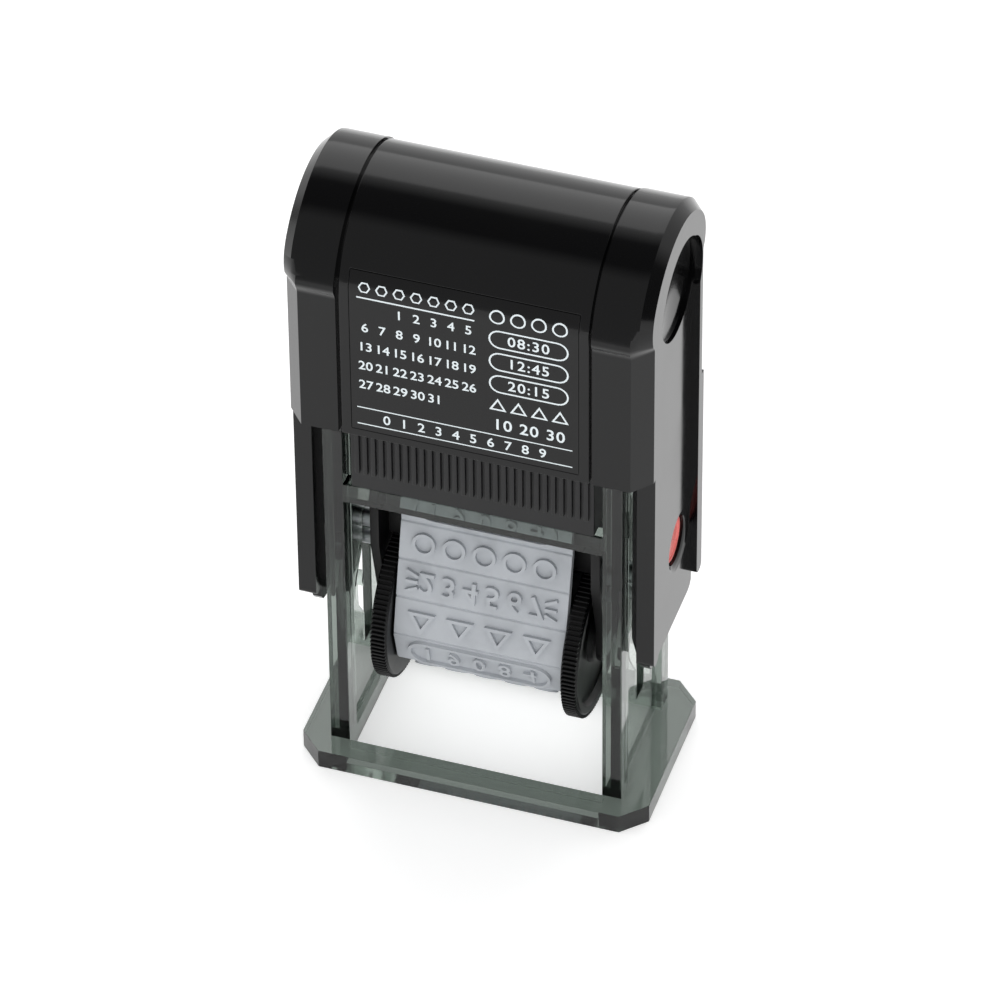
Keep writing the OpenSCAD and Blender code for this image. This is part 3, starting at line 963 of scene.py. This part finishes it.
@dataclass
class Strokes:
    """Flat white line work, drawn in a plane and given a slight thickness."""

    line: float = 0.16
    parts: list[bpy.types.Object] = field(default_factory=list)

    def polyline(self, points: Sequence[tuple[float, float]], closed: bool = False,
                 line: float | None = None) -> None:
        """Draws a line of even width through points.

        Args:
            points: the line's points, in millimetres.
            closed: whether it returns to its start.
            line: its width, in millimetres.
        """
        half = (line or self.line) / 2
        count = len(points)
        left, right = [], []
        for i, (x, y) in enumerate(points):
            before = points[i - 1] if closed or i else None
            after = points[(i + 1) % count] if closed or i < count - 1 else None
            into = Vector((x - before[0], y - before[1])).normalized() if before else None
            away = Vector((after[0] - x, after[1] - y)).normalized() if after else None
            way = ((into or away) + (away or into)).normalized()
            edge = Vector((-way.y, way.x))
            bend = max(0.5, edge.dot(Vector((-(into or away).y, (into or away).x))))
            left.append(Vector((x, y)) + edge * half / bend)
            right.append(Vector((x, y)) - edge * half / bend)
        points_3d = [(p.x, p.y, 0) for p in left + right]
        faces = [[i, (i + 1) % count, count + (i + 1) % count, count + i]
                 for i in range(count if closed else count - 1)]
        self.parts.append(mesh_piece("stroke", points_3d, faces))

    def ring(self, x: float, y: float, r: float, sides: int = 28, turn: float = 90,
             line: float | None = None) -> None:
        """Draws a circle, or a figure with fewer sides."""
        self.polyline(arc((x, y), r, turn, turn + 360, sides)[:-1], True, line)

    def pill(self, x0: float, x1: float, y: float, r: float) -> None:
        """Draws a long outline with round ends."""
        points = arc((x1 - r, y), r, -90, 90, 10) + arc((x0 + r, y), r, 90, 270, 10)
        self.polyline(points, True)

    def digits(self, words: str, x: float, y: float, height: float, spread: float = 1.0) -> None:
        """Sets a row of numbers, centred on x, with its foot at y."""
        curve = bpy.data.curves.new("digits", "FONT")
        curve.body = words
        curve.size = height * MM / 0.7
        curve.align_x = "CENTER"
        curve.offset = height * MM * 0.018
        curve.space_character = spread
        curve.resolution_u = 4
        holder = bpy.data.objects.new("digits", curve)
        bpy.context.scene.collection.objects.link(holder)
        graph = bpy.context.evaluated_depsgraph_get()
        mesh = bpy.data.meshes.new_from_object(holder.evaluated_get(graph), depsgraph=graph)
        bpy.data.objects.remove(holder)
        mesh.transform(Matrix.Translation(Vector((x, y, 0)) * MM))
        self.parts.append(link_mesh("digits", mesh))

    def raised(self, name: str, height: float) -> bpy.types.Object:
        """Joins the line work and gives it a thickness.

        Args:
            name: the object's name.
            height: how far it stands out of its plane, in millimetres.

        Returns:
            The closed line work, which stands on Z = 0.
        """
        piece = join(name, self.parts)
        self.parts = []
        bm = bmesh.new()
        bm.from_mesh(piece.data)
        bmesh.ops.remove_doubles(bm, verts=bm.verts, dist=1e-6)
        bmesh.ops.recalc_face_normals(bm, faces=bm.faces)
        for face in bm.faces:
            if face.normal.z < 0:
                face.normal_flip()
        grown = bmesh.ops.extrude_face_region(bm, geom=bm.faces[:])
        tops = [g for g in grown["geom"] if isinstance(g, bmesh.types.BMVert)]
        bmesh.ops.translate(bm, verts=tops, vec=(0, 0, height * MM))
        bmesh.ops.recalc_face_normals(bm, faces=bm.faces)
        bm.to_mesh(piece.data)
        bm.free()
        return piece


@dataclass
class LabelArt:
    """A plain calendar and rows of shapes, printed in white on the front label."""

    finishes: Finishes

    def build(self) -> None:
        """Draws the artwork and lays it on the label, which follows the case's front."""
        case = Case(self.finishes)
        low, high = (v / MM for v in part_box("front_label"))
        way = [Vector(case.front_at(0.0, low.z + (high.z - low.z) * i / 80)) for i in range(81)]
        run = [0.0]
        for before, after in zip(way, way[1:]):
            run.append(run[-1] + (after - before).length)
        width, height = high.x - low.x, run[-1]
        art = Strokes(0.2)
        self.calendar(art, -width / 2 + 1.0, height)
        self.shapes(art, width / 2 - 5.7, height)
        for y in (3.3, 0.9):
            art.polyline([(-width / 2 + 0.7, y), (width / 2 - 0.7, y)], line=0.14)
        art.digits("0 1 2 3 4 5 6 7 8 9", 0, 1.45, 1.25, 1.35)
        piece = art.raised("label_print", 0.02)
        self.slice(piece, [d for d in run if d > case.dome_z - low.z])
        for vertex in piece.data.vertices:
            x, along, up = vertex.co / MM
            i = next((n for n in range(1, len(run)) if run[n] >= along), len(run) - 1)
            step = (way[i] - way[i - 1]).normalized()
            at = way[i - 1] + step * (along - run[i - 1])
            out = Vector((-step.y, step.x)) * (up - 0.004)
            vertex.co = Vector((x, at.x + out.x, at.y + out.y)) * MM
        smooth(piece, 60)
        dress(piece, self.finishes.ink, "case", "label_film")

    def slice(self, piece: bpy.types.Object, heights: Sequence[float]) -> None:
        """Adds edges across the artwork at each height, so that it can follow a curve."""
        bm = bmesh.new()
        bm.from_mesh(piece.data)
        for height in heights:
            bmesh.ops.bisect_plane(bm, geom=bm.verts[:] + bm.edges[:] + bm.faces[:], plane_co=(0, height * MM, 0),
                                   plane_no=(0, 1, 0), dist=1e-8)
        bm.to_mesh(piece.data)
        bm.free()

    def calendar(self, art: Strokes, x0: float, height: float) -> None:
        """Draws the days of a month in rows of seven, under a row of small six-sided rings."""
        step_x, step_y, size = 2.0, 2.75, 1.2
        y0 = height - 5.4
        for day in range(1, 32):
            column, row = (day + 1) % 7, (day + 1) // 7
            art.digits(str(day), x0 + (column + 0.4) * step_x, y0 - row * step_y, size)
        for i in range(7):
            art.ring(x0 + (i + 0.4) * step_x, height - 1.9, 0.62, 6, 0, 0.17)
        art.polyline([(x0 - 0.1, height - 3.3), (x0 + 7 * step_x - 0.5, height - 3.3)], line=0.2)

    def shapes(self, art: Strokes, x: float, height: float) -> None:
        """Draws a column of circles, numbers in outlines, and triangles."""
        for i in range(4):
            art.ring(x - 3.6 + 2.4 * i, height - 2.2, 0.8)
        for row, words in enumerate(("08:30", "12:45", "20:15")):
            y = height - 5.3 - 3.2 * row
            art.pill(x - 4.5, x + 4.5, y, 1.2)
            art.digits(words, x, y - 0.65, 1.35, 1.15)
        for i in range(4):
            art.ring(x - 3.6 + 2.4 * i, height - 15.0, 0.95, 3)
        art.digits("10 20 30", x, 4.2, 1.5, 1.1)


# ---------------------------------------------------------------- print unit


@dataclass
class PrintUnit:
    """The band on its carriage, which turns over as the case goes down, in millimetres."""

    finishes: Finishes
    band_r: float = 7.6
    thickness: float = 1.2
    relief: float = 0.5
    pitch: float = 5.1
    groove: float = 0.22
    face_half: float = 2.4
    teeth: int = 104
    wheel_bore: float = 1.56
    tooth_h: float = 0.32

    def build(self) -> None:
        """Builds the band, the wheels and the carriage's small parts."""
        low, high = (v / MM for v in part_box("print_band"))
        self.half_w, self.face_z = high.x, high.z
        wheel_low, wheel_high = (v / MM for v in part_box("right_thumb_wheel"))
        self.drum_z = (wheel_low.z + wheel_high.z) / 2
        self.wheel_r = (wheel_high.z - wheel_low.z) / 2
        self.band()
        for sign, side in ((1, "right"), (-1, "left")):
            self.wheel(sign, side)
        self.small_parts()

    def path(self, inset: float) -> list[Vector]:
        """The band's closed outline in Y and Z, as evenly spaced points.

        Args:
            inset: how far inside the outer face, in millimetres.

        Returns:
            Points from the middle of the print face down the front and up the back.
        """
        r = self.band_r - inset
        half = self.face_half - 0.35 * inset
        top = self.face_z - self.relief - inset
        away = math.hypot(half, top - self.drum_z)
        lean = math.degrees(math.atan(half / (top - self.drum_z)) + math.acos(r / away))
        around = arc((0.0, self.drum_z), r, 90 + lean, 450 - lean, 120)
        return [Vector((0, top)), Vector((-half, top))] + [Vector(p) for p in around] + [Vector((half, top))]

    def walk(self, path: list[Vector], distance: float) -> tuple[Vector, Vector]:
        """Finds a place along a closed path.

        Args:
            path: the path's points.
            distance: how far along it, in millimetres.

        Returns:
            The point and the direction of travel there.
        """
        total = sum((path[(i + 1) % len(path)] - p).length for i, p in enumerate(path))
        left = distance % total
        for i, p in enumerate(path):
            step = path[(i + 1) % len(path)] - p
            if left <= step.length:
                return p + step.normalized() * left, step.normalized()
            left -= step.length
        return path[0], (path[1] - path[0]).normalized()

    def band(self) -> None:
        """Makes the rubber band, with a groove between its print lines and raised figures on each."""
        outer, inner = self.path(0), self.path(self.thickness)
        total = self.length(outer)
        lines = round(total / self.pitch)
        corners = [self.walk(outer, k * total / lines) for k in range(lines)]
        ring = []
        for k, (at, way) in enumerate(corners):
            out = Vector((way.y, -way.x))
            depth = self.groove if k else 0.0
            ring += [at - way * 0.16 + out * 0.02, at - out * depth, at + way * 0.16 + out * 0.02]
            if k in (0, lines - 1):
                end = -self.face_half if k == 0 else self.face_half
                ring.append(Vector((end, self.face_z - self.relief)))
        inside = [self.walk(inner, self.length(inner) * i / 120)[0] for i in range(120)]
        outer_solid = extrude_x("band", [(p.x, p.y) for p in ring], -self.half_w, self.half_w)
        inner_solid = extrude_x("bore", [(p.x, p.y) for p in inside], -self.half_w - 1, self.half_w + 1)
        cut(outer_solid, inner_solid)
        soften(outer_solid, 0.1, 2, 50)
        figures = [self.figure_row(k, corners[k][0], corners[(k + 1) % lines][0]) for k in range(1, lines - 1)]
        piece = join("rubber_band", [outer_solid, *figures])
        smooth(piece, 30)
        dress(piece, self.finishes.rubber, "print_unit", "band_rubber", "print_band")

    def length(self, path: list[Vector]) -> float:
        """The length of a closed path."""
        return sum((path[(i + 1) % len(path)] - p).length for i, p in enumerate(path))

    def figure_row(self, k: int, start: Vector, end: Vector) -> bpy.types.Object:
        """Makes one print line's raised figures, mirrored as on any stamp.

        Args:
            k: the line's number, counted from the print face down the front.
            start: where the line begins, in Y and Z.
            end: where it ends.

        Returns:
            The raised figures in their place on the band.
        """
        art = Strokes(0.4)
        kind = k % 4
        if kind == 2:
            for i in range(5):
                art.ring(-7.2 + 3.6 * i, 0, 1.2)
        elif kind == 0:
            for i in range(4):
                art.ring(-6.9 + 4.6 * i, -0.1, 1.5, 3)
        elif kind == 3:
            art.digits("2 3 4 5 6 7", 0, -1.3, 2.7, 0.9)
            for sign in (-1, 1):
                for tilt in (-0.9, 0, 0.9):
                    art.polyline([(sign * 7.6, tilt * 0.8), (sign * 9.0, tilt * 1.5)])
        else:
            art.digits("1 9 0 8 4", 0, -1.1, 2.2, 1.2)
            art.pill(-8.4, 8.4, 0, 1.85)
        root = 0.12
        piece = art.raised("figures", self.relief + root)
        at, way = (start + end) / 2, (end - start).normalized()
        out = Vector((way.y, -way.x))
        frame = Matrix(((1, 0, 0, 0), (0, way.x, out.x, at.x * MM), (0, way.y, out.y, at.y * MM), (0, 0, 0, 1)))
        piece.data.transform(frame @ Matrix.Translation((0, 0, -root * MM)))
        if frame.to_3x3().determinant() < 0:
            piece.data.flip_normals()
        return piece

    def wheel(self, sign: int, side: str) -> None:
        """Makes one thumb wheel: a toothed rim, a recessed web and a hub."""
        low, high = (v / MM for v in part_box("right_thumb_wheel"))
        root = self.wheel_r - self.tooth_h
        bore = self.wheel_bore
        x0, x1 = low.x, high.x
        profile = [(x0, bore), (x0, root - 0.25), (x0 + 0.25, root), (x1 - 0.3, root), (x1, root - 0.35),
                   (x1, root - 1.15), (x1 - 0.75, root - 1.45), (x1 - 0.75, 3.5), (x1 - 0.15, 3.2),
                   (x1 - 0.15, bore)]
        body = lathe_x("wheel", [(sign * x, r) for x, r in profile], (0, self.drum_z), 128)
        pitch = 2 * math.pi * root / self.teeth
        teeth = grow("teeth", repeat_tree(Repeat.RING), {
            "Count": self.teeth, "Spacing": (root + 0.06) * MM,
            "Bar": Vector((pitch * 0.5, 0.5, x1 - x0 - 0.3)) * MM,
            "Centre": Vector((sign * (x0 + x1) / 2, 0, self.drum_z)) * MM,
            "Material": self.finishes.wheel,
        })
        soften(teeth, 0.07, 1)
        piece = join(f"{side}_toothed_wheel", [body, teeth])
        smooth(piece, 35)
        dress(piece, self.finishes.wheel, "band_wheels", "wheel_black", f"{side}_thumb_wheel")

    def small_parts(self) -> None:
        """Makes the platen's cushion and rounds the edges of the side plates."""
        low, high = (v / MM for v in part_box("platen_cushion"))
        cushion = crowned_pad("platen_foam_pad", low, high, crown=0.12, pull=0.1)
        dress(cushion, self.finishes.foam, "print_unit", "cushion_foam", "platen_cushion")
        for side in ("left", "right"):
            piece = merged_copy(f"{side}_carriage_plate", f"{side}_side_plate")
            soften(piece, 0.12, 2, 40)
            smooth(piece)
            dress(piece, self.finishes.plate, "print_unit", "matte_black", f"{side}_side_plate")


def dress_packed_nodes(frame: dict[str, Any], finishes: Finishes) -> None:
    """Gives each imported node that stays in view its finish."""
    by_slot = {
        "smoke_clear": finishes.clear, "charcoal_plastic": finishes.charcoal, "ink_foam": finishes.pad,
        "spring_steel": finishes.steel, "gloss_black": finishes.gloss_black, "label_film": finishes.label,
        "button_red": finishes.red, "matte_black": finishes.plate, "cushion_foam": finishes.foam,
        "band_rubber": finishes.rubber, "wheel_black": finishes.wheel,
    }
    for row in frame["record"]["subparts"]:
        node = frame["nodes"][row["node"]]
        node.data.materials.clear()
        node.data.materials.append(by_slot[row["material_slot"]])


# ---------------------------------------------------------------- studio


@dataclass
class Studio:
    """A white sweep, soft lamps and the camera."""

    azimuth: float = 18.387
    elevation: float = 41.723
    roll: float = -0.55
    distance: float = 863.62
    target: tuple[float, float, float] = (0.265, 0.0, 36.10)
    lens: float = 274.56
    floor_lift: float = 0.36

    def build(self) -> None:
        """Builds the camera, floor, lamps and world."""
        self.camera()
        self.floor()
        self.lamps()
        self.world()
        bpy.context.scene.view_settings.view_transform = "Standard"

    def camera(self) -> None:
        """Places the camera."""
        a, e, r = (math.radians(v) for v in (self.azimuth, self.elevation, self.roll))
        back = Vector((math.sin(a) * math.cos(e), -math.cos(a) * math.cos(e), math.sin(e)))
        right = Vector((math.cos(a), math.sin(a), 0))
        up = back.cross(right)
        right, up = right * math.cos(r) + up * math.sin(r), up * math.cos(r) - right * math.sin(r)
        data = bpy.data.cameras.new("camera")
        data.lens, data.sensor_width = self.lens, 36.0
        data.clip_start, data.clip_end = 0.01, 20.0
        camera = bpy.data.objects.new("camera", data)
        turn = Matrix((right, up, back)).transposed().to_4x4()
        camera.matrix_world = Matrix.Translation((Vector(self.target) + back * self.distance) * MM) @ turn
        bpy.context.scene.collection.objects.link(camera)
        bpy.context.scene.camera = camera

    def floor(self) -> None:
        """Makes the pale floor, which shows white to the camera but keeps the stamp's shadow."""
        material = bpy.data.materials.new("white_sweep")
        material.use_nodes = True
        tree = material.node_tree
        shader = tree.nodes["Principled BSDF"]
        shader.inputs["Base Color"].default_value = linear("fafafa")
        shader.inputs["Roughness"].default_value = 0.9
        # Lifts the sweep to white for the camera, and keeps the shadow
        path = add_node(tree, "ShaderNodeLightPath")
        seen = add_node(tree, "ShaderNodeMath", {}, {0: path.outputs["Is Camera Ray"],
                                                     1: path.outputs["Is Transmission Ray"]},
                        operation="MAXIMUM")
        clear = add_node(tree, "ShaderNodeMath", {}, {0: path.outputs["Is Glossy Ray"], 1: seen.outputs[0]},
                         operation="MAXIMUM")
        lift = add_node(tree, "ShaderNodeMath", {1: self.floor_lift}, {0: clear.outputs[0]}, operation="MULTIPLY")
        shader.inputs["Emission Color"].default_value = (1, 1, 1, 1)
        tree.links.new(lift.outputs[0], shader.inputs["Emission Strength"])
        size = 600
        piece = mesh_piece("floor", [(-size, -size, -0.02), (size, -size, -0.02), (size, size, -0.02),
                                     (-size, size, -0.02)], [[0, 1, 2, 3]])
        piece.data.materials.append(material)

    def lamps(self) -> None:
        """Hangs the soft lamps."""
        for name, place, size, power, aim, glossy in (
            ("back_softbox", (-40, 330, 360), (620, 330), 0.75, (0, 0, 40), True),
            ("left_strip", (-430, -40, 150), (60, 300), 0.16, (0, 0, 50), True),
            ("front_fill", (120, -420, 150), (260, 260), 0.55, (0, 0, 25), False),
        ):
            data = bpy.data.lights.new(name, "AREA")
            data.shape, data.size, data.size_y = "RECTANGLE", size[0] * MM, size[1] * MM
            data.energy = power
            lamp = bpy.data.objects.new(name, data)
            at = Vector(place) * MM
            lamp.location = at
            lamp.rotation_mode = "QUATERNION"
            lamp.rotation_quaternion = (Vector(aim) * MM - at).to_track_quat("-Z", "Y")
            lamp.visible_glossy = glossy
            bpy.context.scene.collection.objects.link(lamp)

    def world(self) -> None:
        """Lights the stamp evenly, with white behind it for the camera, gloss and clear plastic."""
        world = bpy.data.worlds.new("studio")
        bpy.context.scene.world = world
        world.use_nodes = True
        tree = world.node_tree
        ambient = tree.nodes["Background"]
        ambient.inputs["Color"].default_value = (1, 1, 1, 1)
        ambient.inputs["Strength"].default_value = 0.68
        white = add_node(tree, "ShaderNodeBackground", {"Color": (1, 1, 1, 1), "Strength": 1.0})
        # The room as gloss sees it: pale behind the stamp, dark overhead and grey in front
        place = add_node(tree, "ShaderNodeTexCoord")
        axes = add_node(tree, "ShaderNodeSeparateXYZ", links={0: place.outputs["Generated"]})
        depth = add_node(tree, "ShaderNodeMapRange", {"From Min": -1.0, "From Max": 1.0},
                         {"Value": axes.outputs["Y"]})
        room = add_node(tree, "ShaderNodeValToRGB", links={"Fac": depth.outputs["Result"]})
        stops = room.color_ramp.elements
        stops[0].position, stops[0].color = 0.26, (0.5, 0.5, 0.5, 1)
        stops[1].position, stops[1].color = 0.72, (1, 1, 1, 1)
        for at, level in ((0.36, 0.1), (0.6, 0.12)):
            stops.new(at).color = (level, level, level, 1)
        gloss = add_node(tree, "ShaderNodeBackground", {"Strength": 1.0}, {"Color": room.outputs["Color"]})
        path = add_node(tree, "ShaderNodeLightPath")
        clear = add_node(tree, "ShaderNodeMath", {}, {0: path.outputs["Is Camera Ray"],
                                                      1: path.outputs["Is Transmission Ray"]}, operation="MAXIMUM")
        shiny = add_node(tree, "ShaderNodeMixShader", {}, {0: path.outputs["Is Glossy Ray"],
                                                           1: ambient.outputs[0], 2: gloss.outputs[0]})
        mix = add_node(tree, "ShaderNodeMixShader", {}, {0: clear.outputs[0], 1: shiny.outputs[0],
                                                         2: white.outputs[0]})
        tree.links.new(mix.outputs[0], tree.nodes["World Output"].inputs["Surface"])


def main() -> None:
    """Builds the stamp and its studio."""
    logging.basicConfig(level=logging.INFO, format="%(name)s: %(message)s")
    for thing in list(bpy.data.objects):
        bpy.data.objects.remove(thing)
    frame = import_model()
    Studio().build()
    finishes = Finishes()
    dress_packed_nodes(frame, finishes)
    Case(finishes).build()
    FrameAndPad(finishes).build()
    LabelArt(finishes).build()
    PrintUnit(finishes).build()


if __name__ == "__main__":
    main()
